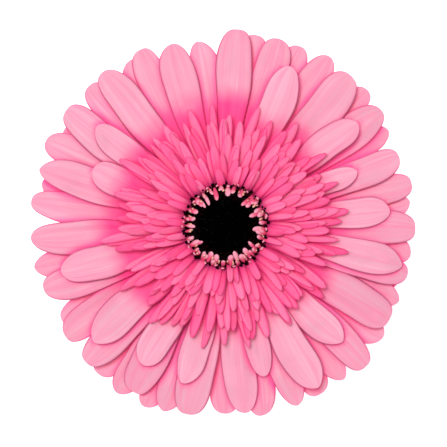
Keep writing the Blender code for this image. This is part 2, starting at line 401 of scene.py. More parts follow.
def bract_finish(looks):
    """Green bracts with a paler midrib, a thin pale margin and a dry, reddish tip."""
    finish = Finish("bract_skin")
    across, along = finish.attributes("across", "along")
    patches = finish.noise(380.0, 3.0)
    grain = finish.noise(1800.0, 3.0)
    lines = finish.maths("SINE", across * 20.0 + patches * 2.0) * 0.5 + 0.5
    pale = shade(looks.bract, (1.9, 1.6, 2.0))
    midrib = 1.0 - finish.step(finish.size_of(across), 0.05, 0.28)
    margin = finish.step(finish.size_of(across), 0.78, 0.98)
    tint = finish.mix(patches * 0.5 + lines * 0.15, looks.bract, pale)
    tint = finish.mix(midrib * 0.45 + margin * 0.4, tint, pale)
    tint = finish.mix(finish.step(along + patches * 0.12, 0.86, 1.02) * 0.8, tint, looks.bract_tip)
    return finish.done(
        Base_Color=tint,
        Roughness=0.55 + patches * 0.15,
        Normal=finish.bump(lines * 0.5 + grain * 0.6, 0.08 * MM, 0.6),
        Subsurface_Weight=0.08,
        Subsurface_Radius=(0.5, 1.0, 0.2),
        Subsurface_Scale=0.8 * MM,
        Sheen_Weight=0.15,
    )


def stem_finish(looks):
    """Green stem skin with lengthwise streaks, a pale, fibrous pith on the cut face, and near-black
    painted shade on the cup's top under the florets.
    """
    finish = Finish("stem_skin")
    pith, shaded_top = finish.attributes("pith", "shaded_top")
    stretch = {"Vector": finish.place, "Scale": (900.0, 900.0, 90.0)}
    streaks = finish.noise(1.0, 3.0, finish.add("ShaderNodeMapping", None, stretch))
    speckle = finish.noise(2600.0, 3.0)
    cells = finish.add("ShaderNodeTexVoronoi", None, {"Vector": finish.place, "Scale": 2600.0})
    pale = shade(looks.stem, (1.6, 1.4, 1.7))
    tint = finish.mix(finish.step(streaks, 0.35, 0.7), looks.stem, pale)
    inside = finish.mix(finish.step(cells, 0.15, 0.6) * 0.35, looks.pith, looks.stem)
    tint = finish.mix(pith, tint, inside)
    # Painted shade: near-black on the cup's top, between and under the florets.
    tint = finish.mix(shaded_top, tint, looks.shaded_top)
    return finish.done(
        Base_Color=tint,
        Roughness=0.5 + speckle * 0.2,
        Normal=finish.bump(streaks * 0.6 + speckle * 0.4 + cells * pith, 0.1 * MM, 0.6),
        Subsurface_Weight=0.1,
        Subsurface_Radius=(0.5, 1.0, 0.2),
        Subsurface_Scale=1.0 * MM,
        Sheen_Weight=0.1,
    )


def hair_finish(looks):
    """Fine whitish hairs."""
    finish = Finish("hair_skin")
    patches = finish.noise(500.0, 1.0)
    darker = shade(looks.hair, (0.7, 0.7, 0.7))
    return finish.done(
        Base_Color=finish.mix(patches, darker, looks.hair), Roughness=0.5 + patches * 0.1
    )


FLOOR_GLOW = 0.68


def floor_finish():
    """Plain white paper under the bloom."""
    finish = Finish("floor_paper")
    grain = finish.noise(900.0, 2.0)
    return finish.done(
        Base_Color=finish.mix(grain, (0.90, 0.90, 0.90), (0.93, 0.93, 0.93)),
        Roughness=0.9,
        Specular_IOR_Level=0.1,
        Emission_Color=(1.0, 1.0, 1.0, 1.0),
        Emission_Strength=FLOOR_GLOW,
    )


# ---- Meshes --------------------------------------------------------


def piece_of(mesh, name, material, nodes):
    """The finished piece: smooth, dressed, on its body and in place of its solids."""
    mesh.name = name
    mesh.shade_smooth()
    mesh.materials.clear()
    mesh.materials.append(material)
    piece = bpy.data.objects.new(name, mesh)
    bpy.context.scene.collection.objects.link(piece)
    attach(piece, BODY)
    if nodes:
        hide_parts(*nodes)


def wall_faces(rings, count):
    """The faces between closed rings of points, each ring and the next."""
    return [
        (start + k, start + (k + 1) % count, start + count + (k + 1) % count, start + count + k)
        for start in range(0, (rings - 1) * count, count)
        for k in range(count)
    ]


def cap_faces(pole, start, count):
    """The faces between a pole and the ring of points that begins at start."""
    return [(pole, start + k, start + (k + 1) % count) for k in range(count)]


def closed_mesh(places, faces, values):
    """A closed mesh from its points and faces, with a float attribute for each of the values."""
    mesh = bpy.data.meshes.new("closed")
    mesh.from_pydata(places, [], faces)
    body = bmesh.new()
    body.from_mesh(mesh)
    bmesh.ops.recalc_face_normals(body, faces=body.faces)
    body.to_mesh(mesh)
    body.free()
    for key, numbers in values.items():
        layer = mesh.attributes.new(key, "FLOAT", "POINT")
        layer.data.foreach_set("value", np.asarray(numbers, np.float32))
    return mesh


# How near a blade's tip, and a station along it, a point lies to be counted as on it.
TIP_BAND = 0.3 * MM
STATION_BAND = 0.1 * MM

# Where a ray petal is widest, from 0 at its foot to 1 at its tip, and how far the painted shade
# beside a petal that lies over it reaches.
OUTLINE_WIDEST = 0.68
OVERLAP_SHADE_WIDTH = 2.2 * MM

# A blade lies over another where it stands this much higher at this radius.
LEVEL_GAP = 0.8 * MM
TEST_RADIUS = 30.0 * MM

# The front whorl's solid, where its blades part from their ring, and where its petals begin.
FRONT = "front_ray_petals"
FRONT_INSIDE = 14.5 * MM
FRONT_START = 13.2 * MM


def blades_of(node, inside):
    """The points of each blade of a node beyond this radius, one array for each blade."""
    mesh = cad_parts[node].data
    points = np.empty(len(mesh.vertices) * 3)
    mesh.vertices.foreach_get("co", points)
    points = points.reshape(-1, 3) - (*AXIS, 0.0)
    corners = np.array([list(face.vertices) for face in mesh.polygons])
    _, same = np.unique(np.round(points, 6), axis=0, return_inverse=True)
    same = same.reshape(-1)
    owner = np.arange(same.max() + 1)
    outside = np.hypot(points[:, 0], points[:, 1]) > inside
    faces = same[corners[outside[corners].all(axis=1)]]
    for _ in range(len(owner)):
        lowest = owner[faces].min(axis=1)
        before = owner.copy()
        for corner in range(3):
            np.minimum.at(owner, faces[:, corner], lowest)
        owner = owner[owner]
        if (owner == before).all():
            break
    used = np.unique(owner[faces])
    return [points[outside & (owner[same] == group)] for group in used]


class Blade:
    """What the solid of a ray petal says: its direction, length, width and midrib height."""

    def __init__(self, points):
        radius = np.hypot(points[:, 0], points[:, 1])
        tip = points[radius > radius.max() - TIP_BAND].mean(axis=0)
        self.angle = math.atan2(tip[1], tip[0])
        cos, sin = math.cos(self.angle), math.sin(self.angle)
        along = points[:, 0] * cos + points[:, 1] * sin
        aside = points[:, 1] * cos - points[:, 0] * sin
        self.start = along.min()
        self.reach = along.max()
        self.half = np.abs(aside).max()
        stations = np.unique(np.round(along, 4))
        tops = [points[np.abs(along - x) < STATION_BAND, 2].max() for x in stations]
        self.height = np.polyfit(stations, tops, 3)

    def midrib(self, x):
        return np.polyval(self.height, x)

    def overlap_shade_on(self, x, y):
        """How near each place comes to this blade: 1 under it or at its edge, 0 well away; this sets
        the painted shade that the blade casts.
        """
        across = x * math.cos(self.angle) + y * math.sin(self.angle)
        aside = y * math.cos(self.angle) - x * math.sin(self.angle)
        t = np.clip((across - self.start) / (self.reach - self.start), 0.0, 1.0)
        past = np.maximum(0.0, t - OUTLINE_WIDEST) / (1 - OUTLINE_WIDEST)
        grown = 0.25 + 0.75 * np.sin(math.pi / 2 * np.minimum(1.0, t / OUTLINE_WIDEST)) ** 1.4
        half = self.half * grown * np.sqrt(np.maximum(0.0, 1 - past**2.4))
        beside = np.abs(aside) - half
        beyond = across - self.reach
        apart = np.where(beyond > 0, np.hypot(beyond, aside), beside) / OVERLAP_SHADE_WIDTH
        return np.where(across > self.start, np.clip(1.0 - apart, 0.0, 1.0), 0.0)


def ray_blades():
    """Every ray petal's blade by its solid: one each, and all those of the front whorl."""
    names = sorted(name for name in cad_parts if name.startswith("ray_petal_"))
    blades = {name: [Blade(blades_of(name, 0.0)[0])] for name in names}
    front = [Blade(points) for points in blades_of(FRONT, FRONT_INSIDE)]
    blades[FRONT] = sorted(front, key=lambda blade: blade.angle)
    return blades


def above(blade, blades):
    """The blades that lie over this one."""
    level = blade.midrib(TEST_RADIUS) + LEVEL_GAP
    everyone = [other for group in blades.values() for other in group]
    return [other for other in everyone if other.midrib(TEST_RADIUS) > level]


# Points along and across a ray petal, and how much wider it is than its solid.
ROWS = 36
COLUMNS = 17
BROADER = 1.07

# The two grooves beside a ray petal's midrib, in half widths, and the fine line along it.
GROOVE_PLACE = 0.36
GROOVE_WIDTH = 0.12
LINE_WIDTH = 0.08
LINE_SHARE = 0.4

# Lengthwise folds, and the ripple of the outline as a share of the half width.
FOLDS = 3
FOLD_HEIGHT = 0.22 * MM
RIPPLE = 0.05

# About a full turn in radians, the range of a phase.
TURN = 6.28


def petal_surface(blade, start, pointed, looks, dice):
    """The upper and lower side of a grooved, slightly rolled ray petal, along its own direction.

    s runs from 0 at the foot to 1 at the tip, and u from -1 to 1 across.
    """
    widest = dice.uniform(0.64, 0.75)
    blunt = dice.uniform(2.3, 3.6)
    point = dice.uniform(*pointed)
    claw = dice.uniform(0.22, 0.28)
    folds = [
        (dice.uniform(2.5, 6.5), dice.uniform(0.0, TURN), dice.uniform(0.3, 1.0))
        for _ in range(FOLDS)
    ]
    roll = math.radians(dice.uniform(-4.5, 4.5))
    drop = looks.edge_drop * dice.uniform(0.5, 1.3)
    groove = looks.groove * dice.uniform(0.5, 1.4)
    curl = dice.uniform(-0.9, 0.5) * MM
    bow = dice.uniform(-0.5, 0.5) * MM
    lean = dice.uniform(-0.7, 0.7) * MM
    wave = dice.uniform(0.04, 0.16) * MM
    beat = dice.uniform(7.0, 12.0)
    phase = dice.uniform(0.0, TURN)
    skew = dice.uniform(-0.16, 0.16)
    ripple = dice.uniform(9.0, 15.0)

    # The outline: a narrow claw, the widest place, and an end that closes on its midrib.
    q = np.linspace(0.0, 1.0, ROWS)[:, None]
    s = np.sin(q * math.pi / 2) ** 1.15
    u = np.linspace(-1.0, 1.0, COLUMNS)[None, :]
    grown = claw + (1 - claw) * np.sin(math.pi / 2 * np.minimum(1.0, s / widest)) ** 1.4
    past = np.maximum(0.0, (s - widest) / (1 - widest))
    half = blade.half * BROADER * grown * np.maximum(0.0, 1 - past**blunt) ** point
    x = start + s * (blade.reach - start) + 0 * u
    side = np.sign(u)
    uneven = 1 + side * skew + RIPPLE * np.sin(ripple * s + phase + 2.0 * side)
    y = u * half * uneven + bow * 4 * s * (1 - s) + lean * np.maximum(0.0, s - 0.6) ** 2 * 6

    # The upper side: edges bent down, grooves, folds, a twist, and a curl towards the tip.
    share = half / blade.half
    beside = (np.abs(u) - GROOVE_PLACE) / GROOVE_WIDTH
    top = blade.midrib(x) - drop * u**2 * share
    top -= groove * share * np.exp(-(beside**2)) * (1 - past**2)
    top -= LINE_SHARE * groove * share * np.exp(-((u / LINE_WIDTH) ** 2)) * (1 - past**2)
    fold = sum(weight * np.cos(turns * u + begin + 1.2 * s) for turns, begin, weight in folds)
    top += FOLD_HEIGHT * fold * share * np.sin(math.pi * np.minimum(1.0, s * 1.05)) ** 0.5
    top += roll * u * half * np.sin(s * math.pi * 0.5)
    top += wave * np.abs(u) ** 3 * np.sin(beat * s + phase + 1.5 * side) * share
    top += curl * np.maximum(0.0, s - 0.72) ** 2 * 12

    # The thickness: full at the midrib, a quarter of it at the rim.
    body = looks.thickness * (1 - 0.75 * np.abs(u) ** 3) * np.minimum(1.0, 0.45 + share)
    return x, y, top, top - body, s[:, 0], u[0]


def petal_mesh(blade, surface, tone, over):
    """Joins the two sides of a petal at their rim, foot and tip, and marks painted shade where other
    petals lie over it or beside it.
    """
    x, y, top, bottom, s, u = surface
    loop = [(top, column, 0.0) for column in range(COLUMNS)]
    loop += [(bottom, column, 1.0) for column in range(COLUMNS - 2, 0, -1)]
    count = len(loop)
    places, across, along, side = [], [], [], []
    for row in range(ROWS - 1):
        for z, column, under in loop:
            places.append((x[row, column], y[row, column], z[row, column]))
            across.append(u[column])
            along.append(s[row])
            side.append(under)
    middle = COLUMNS // 2
    for row in (0, ROWS - 1):
        core = (top[row, middle] + bottom[row, middle]) / 2
        places.append((x[row, middle], y[row, middle], core))
        across.append(0.0)
        along.append(s[row])
        side.append(0.5)
    foot, tip = len(places) - 2, len(places) - 1
    faces = wall_faces(ROWS - 1, count)
    faces += cap_faces(foot, 0, count) + cap_faces(tip, (ROWS - 2) * count, count)
    cos, sin = math.cos(blade.angle), math.sin(blade.angle)
    turned = [
        (px * cos - py * sin + AXIS[0], px * sin + py * cos + AXIS[1], pz) for px, py, pz in places
    ]
    flat = np.array(turned) - (*AXIS, 0.0)
    # Painted shade from each petal that lies over this one, strongest under it and beside its edge.
    overlap_shade = [other.overlap_shade_on(flat[:, 0], flat[:, 1]) for other in over]
    values = {
        "overlap_shade": np.max([np.zeros(len(flat)), *overlap_shade], axis=0) ** 1.5,
        "across": across,
        "along": along,
        "out": [math.hypot(px, py) / FULL_REACH for px, py, _ in places],
        "under": side,
        "tone": [tone] * len(places),
    }
    return closed_mesh(turned, faces, values)


def ray_skin(looks):
    """The skin of all ray petals, made once."""
    return bpy.data.materials.get("ray_petal_skin") or ray_petal_finish(looks)


# ---- Geometry trees ------------------------------------------------


SOCKET_TYPES = {int: "NodeSocketInt", float: "NodeSocketFloat"}

# The inputs of each tree with their defaults, or with a socket type where there is none.
RING_INPUTS = {
    "Count": 30, "Seed": 0, "Turn": 0.0, "Base radius": 10.0 * MM, "Base height": 18.0 * MM,
    "Tip radius": 30.0 * MM, "Tip height": 24.0 * MM, "Width": 3.5 * MM, "Thickness": 0.4 * MM,
    "Claw": 0.35, "Widest": 0.7, "Blunt": 2.4, "End": 0.015, "Swing": 1.5, "Rise": 2.2,
    "Cup": 0.12, "Tip curl": 0.0, "Roll": 0.3, "Angle scatter": 0.3, "Reach scatter": 0.05,
    "Height scatter": 0.5 * MM, "Width scatter": 0.15, "Axis X": AXIS[0], "Axis Y": AXIS[1],
    "Material": "NodeSocketMaterial",
}
BUD_INPUTS = {
    "Count": 100, "Seed": 0, "Inner radius": 0.0, "Outer radius": 8.0 * MM,
    "Inner height": 26.0 * MM, "Outer height": 24.0 * MM, "Height scatter": 0.3 * MM,
    "Girth": 0.5 * MM, "Length": 2.0 * MM, "Size scatter": 0.2, "Tilt": 0.2, "Axis X": AXIS[0],
    "Axis Y": AXIS[1], "Material": "NodeSocketMaterial",
}
HAIR_INPUTS = {
    "Surface": "NodeSocketObject", "Density": 1.0e6, "Seed": 3, "Length": 1.1 * MM,
    "Girth": 0.07 * MM, "Lean": 0.5, "Above": 0.6 * MM, "Below": 12.5 * MM,
    "Material": "NodeSocketMaterial",
}

# Sockets of a Random Value node that is set to numbers.
CHANCE_LOW, CHANCE_HIGH, CHANCE_SEED, CHANCE_RESULT = 2, 3, 8, 1


class Growth(Board):
    """A geometry tree under construction, whose named inputs are its items."""

    def __init__(self, name, inputs):
        super().__init__(bpy.data.node_groups.new(name, "GeometryNodeTree"))
        new_socket = self.tree.interface.new_socket
        for label, default in inputs.items():
            kind = SOCKET_TYPES.get(type(default), default)
            socket = new_socket(label, in_out="INPUT", socket_type=kind)
            if kind is not default:
                socket.default_value = default
        new_socket("Geometry", in_out="OUTPUT", socket_type="NodeSocketGeometry")
        self.entry = self.tree.nodes.new("NodeGroupInput")

    def __getitem__(self, label):
        return Wire(self, self.entry.outputs[label])

    def chance(self, stream, low, high):
        """A random number for each point, from a stream of its own."""
        sockets = {CHANCE_LOW: low, CHANCE_HIGH: high, CHANCE_SEED: self["Seed"] + stream}
        node = self.add("FunctionNodeRandomValue", {"data_type": "FLOAT"}, sockets)
        return node.out(CHANCE_RESULT)

    def scatter(self, stream, label):
        """A random number for each point, up or down by as much as an input says."""
        return self.chance(stream, -1.0, 1.0) * self[label]

    def position(self):
        """The place of each point, split in X, Y and Z."""
        return self.add("ShaderNodeSeparateXYZ", None, {0: self.add("GeometryNodeInputPosition")})

    def at_least(self, value, lowest):
        return self.maths("MAXIMUM", value, lowest)

    def store(self, geometry, name, value):
        """The geometry, with a value kept for each point under this name."""
        settings = {"data_type": "FLOAT", "domain": "POINT"}
        sockets = {"Geometry": geometry, "Name": name, "Value": value}
        return self.add("GeometryNodeStoreNamedAttribute", settings, sockets)

    def recall(self, *names):
        """The values that the points keep under these names."""
        kind, settings = "GeometryNodeInputNamedAttribute", {"data_type": "FLOAT"}
        return [self.add(kind, settings, {"Name": name}) for name in names]

    def instances(self, points, shape, **turns):
        sockets = {"Points": points, "Instance": shape, **turns}
        return self.add("GeometryNodeInstanceOnPoints", None, sockets)

    def realised(self, geometry):
        return self.add("GeometryNodeRealizeInstances", None, {"Geometry": geometry})

    def done(self, geometry):
        """The finished tree, which gives out this geometry, realised and dressed."""
        sockets = {"Geometry": self.realised(geometry), "Material": self["Material"]}
        dressed = self.add("GeometryNodeSetMaterial", None, sockets)
        way_out = self.tree.nodes.new("NodeGroupOutput")
        self.tree.links.new(dressed.socket, way_out.inputs[0])
        return self.tree


# The blank of a small petal: points along it, across it and through it.
BLANK_POINTS = {"Vertices X": 9, "Vertices Y": 4, "Vertices Z": 2}

# How far a small petal's tip may lean aside, as a share of half its reach.
MOST_LEAN = 0.28


def ring_tree():
    """A ring of small petals: each is a thin box bent along its own path out from the axis."""
    tree = Growth("petal_ring", RING_INPUTS)
    place = tree.add("GeometryNodeInputIndex") + tree.scatter(1, "Angle scatter")
    own = {
        "angle": place * (2 * math.pi / tree["Count"]) + tree["Turn"],
        "reach": tree["Tip radius"] * (1.0 + tree.scatter(2, "Reach scatter")),
        "rise_to": tree["Tip height"] + tree.scatter(3, "Height scatter"),
        "girth": tree["Width"] * (1.0 + tree.scatter(4, "Width scatter")),
        "rolled": tree.scatter(5, "Roll"),
        "tone": tree.chance(6, -1.0, 1.0),
        "curled": tree["Tip curl"] * tree.chance(7, 0.2, 1.8),
        "leaned": tree.chance(8, -MOST_LEAN, MOST_LEAN),
    }
    points = tree.add("GeometryNodePoints", None, {"Count": tree["Count"]})
    for name, value in own.items():
        points = tree.store(points, name, value)

    # The blank's points, drawn together at its foot and its tip.
    blank = tree.add("GeometryNodeMeshCube", None, BLANK_POINTS)
    corner = tree.position()
    even = corner.out("X") + 0.5
    toward_tip = 1.0 - tree.at_least(1.0 - even, 0.0) ** 1.6
    blank = tree.store(blank, "along", tree.at_least(toward_tip, 0.0) ** 1.25)
    blank = tree.store(blank, "across", corner.out("Y") * 2.0)
    blank = tree.store(blank, "skin", corner.out("Z") * 2.0)
    petals = tree.realised(tree.instances(points, blank))

    # The path of the midrib, and the direction that stands square on it.
    along, across, skin, reach, rise_to = tree.recall("along", "across", "skin", "reach", "rise_to")
    girth, rolled, curled, leaned, angle = tree.recall("girth", "rolled", "curled", "leaned", "angle")
    swing, rise = tree["Swing"], tree["Rise"]
    reach = reach - tree["Base radius"]
    climb = rise_to - tree["Base height"]
    left = tree.at_least(1.0 - along, 0.001)
    gone = tree.at_least(along, 0.001)
    out = tree["Base radius"] + reach * gone**swing
    up = tree["Base height"] + climb * (1.0 - left**rise)
    slope_out = reach * swing * gone ** (swing - 1.0)
    slope_up = climb * rise * left ** (rise - 1.0)
    steep = tree.maths("SQRT", slope_out * slope_out + slope_up * slope_up) + 1e-7
    normal_out = -slope_up / steep
    normal_up = slope_out / steep

    # The outline, the thickness and the cup, rolled about the midrib.
    widest, claw = tree["Widest"], tree["Claw"]
    growth = tree.maths("SINE", tree.maths("MINIMUM", along / widest, 1.0) * (math.pi / 2))
    past = tree.at_least((along - widest) / (1.0 - widest), 0.0)
    rounding = tree.maths("SQRT", tree.at_least(1.0 - past ** tree["Blunt"], tree["End"]))
    half = girth * 0.5 * (claw + (1.0 - claw) * growth) * rounding
    bulk = tree["Thickness"] * 0.5 * (1.0 - 0.7 * across * across) * skin
    raised = bulk + tree["Cup"] * half * (across * across - 0.3)
    flat = across * half
    roll = rolled * along
    cos, sin = tree.maths("COSINE", roll), tree.maths("SINE", roll)
    aside = flat * cos - raised * sin + leaned * reach * along * along * 0.5
    proud = flat * sin + raised * cos
    far = out + normal_out * proud
    high = up + normal_up * proud + curled * past * past

    cos, sin = tree.maths("COSINE", angle), tree.maths("SINE", angle)
    x = far * cos - aside * sin + tree["Axis X"]
    y = far * sin + aside * cos + tree["Axis Y"]
    sockets = {"Geometry": petals, "Position": tree.vector(x, y, high)}
    return tree.done(tree.add("GeometryNodeSetPosition", None, sockets))


GOLDEN_ANGLE = math.radians(137.508)


def bud_tree():
    """Slender upright buds, packed between two radii as seeds are in a flower head."""
    tree = Growth("packed_buds", BUD_INPUTS)
    index = tree.add("GeometryNodeInputIndex")
    inner, outer = tree["Inner radius"], tree["Outer radius"]
    share = (index + 0.5) / tree["Count"]
    radius = tree.maths("SQRT", inner * inner + (outer * outer - inner * inner) * share)
    out = (radius - inner) / (outer - inner)
    angle = index * GOLDEN_ANGLE + tree.chance(1, -0.05, 0.05)
    height = tree["Inner height"] + (tree["Outer height"] - tree["Inner height"]) * out * out
    spot = tree.vector(
        radius * tree.maths("COSINE", angle) + tree["Axis X"],
        radius * tree.maths("SINE", angle) + tree["Axis Y"],
        height + tree.scatter(2, "Height scatter"),
    )
    points = tree.add("GeometryNodePoints", None, {"Count": tree["Count"], "Position": spot})
    bud = tree.add("GeometryNodeMeshUVSphere", None, {"Segments": 7, "Rings": 5, "Radius": 0.5})
    size = 1.0 + tree.scatter(3, "Size scatter")
    girth = tree["Girth"] * size
    scale = tree.vector(girth, girth, tree["Length"] * size)
    lean = tree.vector(tree.scatter(4, "Tilt"), tree.scatter(5, "Tilt"), tree.chance(6, 0.0, TURN))
    return tree.done(tree.instances(points, bud, Rotation=lean, Scale=scale))


# A hair of unit length and width, which the tree scales.
STRAND = {"Vertices": 3, "Side Segments": 2, "Radius Top": 0.05, "Radius Bottom": 0.5, "Depth": 1.0}


def hair_tree():
    """Short fine hairs that stand on a surface between two heights."""
    tree = Growth("fine_hairs", HAIR_INPUTS)
    relative = {"transform_space": "RELATIVE"}
    surface = tree.add("GeometryNodeObjectInfo", relative, {"Object": tree["Surface"]})
    height = tree.position().out("Z")
    wanted = tree.maths("GREATER_THAN", height, tree["Above"])
    wanted = wanted * tree.maths("LESS_THAN", height, tree["Below"])
    sockets = {"Mesh": surface.out("Geometry"), "Selection": wanted}
    sockets |= {"Density": tree["Density"], "Seed": tree["Seed"]}
    spots = tree.add(
        "GeometryNodeDistributePointsOnFaces", {"distribute_method": "RANDOM"}, sockets
    )
    hair = tree.add("GeometryNodeMeshCone", None, STRAND)
    lean = tree.vector(tree.scatter(1, "Lean"), tree.scatter(2, "Lean"), 0.0)
    turned = tree.add(
        "FunctionNodeRotateRotation",
        {"rotation_space": "LOCAL"},
        {"Rotation": spots.out("Rotation"), "Rotate By": lean},
    )
    tall = tree["Length"] * tree.chance(3, 0.5, 1.3)
    scale = tree.vector(tree["Girth"], tree["Girth"], tall)
    return tree.done(tree.instances(spots, hair, Rotation=turned, Scale=scale))


def grown(name, tree, values, nodes, slot):
    """The plain mesh that a geometry tree makes with these input values, as a finished piece."""
    carrier = bpy.data.objects.new(name + "_grower", bpy.data.meshes.new(name + "_grower"))
    bpy.context.scene.collection.objects.link(carrier)
    modifier = carrier.modifiers.new("grow", "NODES")
    modifier.node_group = tree
    sockets = {item.name: item.identifier for item in tree.interface.items_tree}
    for label, value in values.items():
        modifier[sockets[label]] = value
    graph = bpy.context.evaluated_depsgraph_get()
    mesh = bpy.data.meshes.new_from_object(carrier.evaluated_get(graph))
    carrier.modifiers.remove(modifier)
    bpy.data.objects.remove(carrier)
    piece_of(mesh, name, values["Material"], nodes)


def ring_piece(name, node, slot, ring, place, values):
    """A ring of small petals. Its place is two radii and heights and a width in mm, and a count."""
    base, low, tip, high, width, count = place
    placed = {
        "Count": count,
        "Turn": ring * GOLDEN_ANGLE,
        "Base radius": base * MM,
        "Base height": low * MM,
        "Tip radius": tip * MM,
        "Tip height": high * MM,
        "Width": width * MM,
    }
    tree = bpy.data.node_groups.get("petal_ring") or ring_tree()
    grown(name, tree, {**placed, **values}, [node], slot)


def packed_piece(name, node, values):
    """Packed upright buds round the bloom's axis."""
    tree = bpy.data.node_groups.get("packed_buds") or bud_tree()
    grown(name, tree, values, [node], "bud_black")


# ---- Operators -----------------------------------------------------


# Seeds of the ray petals' shapes, and the range of the power that blunts or points their ends.
RAY_SEED = 11
RAY_POINT = (0.34, 0.66)
FRONT_SEED = 23
FRONT_POINT = (0.50, 0.75)


class BLOOM_OT_ray_petals(bpy.types.Operator):
    """Make the separate ray petals, each over its own solid"""

    bl_idname = "bloom.ray_petals"
    bl_label = "Ray petals"

    def execute(self, context):
        looks = context.scene.bloom_ray
        dice = np.random.default_rng(RAY_SEED)
        blades = ray_blades()
        for name in sorted(set(blades) - {FRONT}):
            blade = blades[name][0]
            tone = dice.uniform(-1.0, 0.4)
            surface = petal_surface(blade, blade.start, RAY_POINT, looks, dice)
            mesh = petal_mesh(blade, surface, tone, above(blade, blades))
            piece_of(mesh, f"{name}_blade", ray_skin(looks), [name])
        return {"FINISHED"}


class BLOOM_OT_front_petals(bpy.types.Operator):
    """Make the wide ray petals of the front whorl"""

    bl_idname = "bloom.front_petals"
    bl_label = "Front petals"

    def execute(self, context):
        looks = context.scene.bloom_ray
        dice = np.random.default_rng(FRONT_SEED)
        for number, blade in enumerate(ray_blades()[FRONT], start=1):
            tone = dice.uniform(0.1, 1.0)
            surface = petal_surface(blade, FRONT_START, FRONT_POINT, looks, dice)
            mesh = petal_mesh(blade, surface, tone, [])
            name = f"front_petal_{number:02d}"
            piece_of(mesh, name, ray_skin(looks), [FRONT])
        return {"FINISHED"}


# Rings of trans petals, outermost first: the solid they stand for, base radius and height, tip
# radius and height and width (all in mm), and how many there are.
TRANS_RINGS = (
    ("trans_petals_outer", 11.9, 18.0, 33.0, 23.4, 2.7, 40),
    ("trans_petals_outer", 11.6, 18.0, 30.8, 24.1, 2.7, 38),
    ("trans_petals_second", 11.2, 18.0, 28.4, 24.8, 2.7, 36),
    ("trans_petals_second", 10.9, 18.0, 26.0, 25.5, 2.6, 33),
    ("trans_petals_third", 10.6, 18.0, 23.6, 26.2, 2.6, 30),
    ("trans_petals_third", 10.3, 18.0, 21.2, 26.8, 2.5, 26),
    ("trans_petals_inner", 10.0, 18.0, 18.9, 27.4, 2.4, 22),
    ("trans_petals_inner", 9.8, 18.0, 16.8, 27.8, 2.2, 15),
)
TRANS_SHAPE = {
    "Claw": 0.7, "Widest": 0.77, "Blunt": 3.1, "End": 0.06, "Swing": 1.3, "Rise": 2.8,
    "Cup": 0.26, "Tip curl": 0.5 * MM, "Roll": 0.7, "Angle scatter": 0.5,
    "Reach scatter": 0.085, "Height scatter": 0.5 * MM, "Width scatter": 0.2,
}


class BLOOM_OT_trans_petals(bpy.types.Operator):
    """Grow the shaggy rings of short inner petals"""

    bl_idname = "bloom.trans_petals"
    bl_label = "Trans petals"

    def execute(self, context):
        looks = context.scene.bloom_trans
        common = {"Thickness": looks.thickness, "Material": trans_petal_finish(looks)}
        for ring, (node, *place) in enumerate(TRANS_RINGS):
            values = {**TRANS_SHAPE, **common, "Seed": looks.seed * 100 + ring * 17}
            name = f"trans_petals_ring_{ring + 1}"
            ring_piece(name, node, "trans_petal_pink", ring, place, values)
        return {"FINISHED"}


# Rings of pale lobes, innermost first: base radius and height, tip radius and height and width
# (all in mm), how many there are, and how far their reach varies.
LOBE_RINGS = (
    (11.5, 25.6, 8.2, 27.9, 1.35, 25, 0.13),
    (11.8, 24.8, 9.9, 27.4, 1.05, 32, 0.06),
    (11.4, 24.0, 11.9, 26.9, 0.95, 28, 0.06),
)
LOBE_SHAPE = {
    "Thickness": 0.5 * MM, "Claw": 0.35, "Widest": 0.66, "Blunt": 2.2, "Swing": 1.0,
    "Rise": 1.8, "Cup": 0.2, "Roll": 0.6, "Angle scatter": 0.7, "Height scatter": 0.4 * MM,
    "Width scatter": 0.25,
}

# The ring of cream styles that stand between the lobes.
STYLE_RING = (11.0, 24.0, 10.3, 28.0, 0.55, 44)
STYLE_SHAPE = {
    "Seed": 97, "Turn": 0.4, "Thickness": 0.4 * MM, "Claw": 0.8, "Widest": 0.8, "Blunt": 2.0,
    "Swing": 1.6, "Rise": 1.3, "Cup": 0.1, "Roll": 1.2, "Angle scatter": 0.8,
    "Reach scatter": 0.10, "Height scatter": 0.5 * MM, "Width scatter": 0.3,
}
ANTHERS = {
    "Count": 300, "Seed": 7, "Inner radius": 7.6 * MM, "Outer radius": 12.3 * MM,
    "Inner height": 24.2 * MM, "Outer height": 24.2 * MM, "Height scatter": 0.4 * MM,
    "Girth": 0.95 * MM, "Length": 4.2 * MM, "Tilt": 0.16,
}


class BLOOM_OT_disc_florets(bpy.types.Operator):
    """Grow the open disc florets: pale lobes and cream styles among dark anthers"""

    bl_idname = "bloom.disc_florets"
    bl_label = "Disc florets"

    def execute(self, context):
        looks = context.scene.bloom_centre
        node, slot = "disc_florets", "disc_floret_pink"
        skin = lobe_finish(looks)
        for ring, (*place, vary) in enumerate(LOBE_RINGS):
            values = {**LOBE_SHAPE, "Seed": 41 + ring * 13, "Reach scatter": vary, "Material": skin}
            ring_piece(f"disc_lobes_{ring + 1}", node, slot, ring, place, values)
        values = {**STYLE_SHAPE, "Material": style_finish(looks)}
        ring_piece("styles", node, slot, 0, STYLE_RING, values)
        values = {**ANTHERS, "Material": dark_finish("anther_skin", looks.anther, 0.02)}
        packed_piece("anthers", node, values)
        return {"FINISHED"}


CLOSED_BUDS = {
    "Count": 260, "Seed": 19, "Girth": 1.15 * MM, "Length": 3.4 * MM,
    "Size scatter": 0.12, "Tilt": 0.12,
}


class BLOOM_OT_centre_buds(bpy.types.Operator):
    """Pack the closed, nearly black buds in the middle"""

    bl_idname = "bloom.centre_buds"
    bl_label = "Centre buds"

    def execute(self, context):
        looks = context.scene.bloom_centre
        low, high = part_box("centre_buds")
        values = {
            **CLOSED_BUDS,
            "Outer radius": (high[0] - low[0]) / 2 + 0.2 * MM,
            "Inner height": high[2] - 1.3 * MM,
            "Outer height": high[2] - 2.6 * MM,
            "Material": dark_finish("bud_skin", looks.bud, 0.0),
        }
        packed_piece("closed_buds", "centre_buds", values)
        return {"FINISHED"}


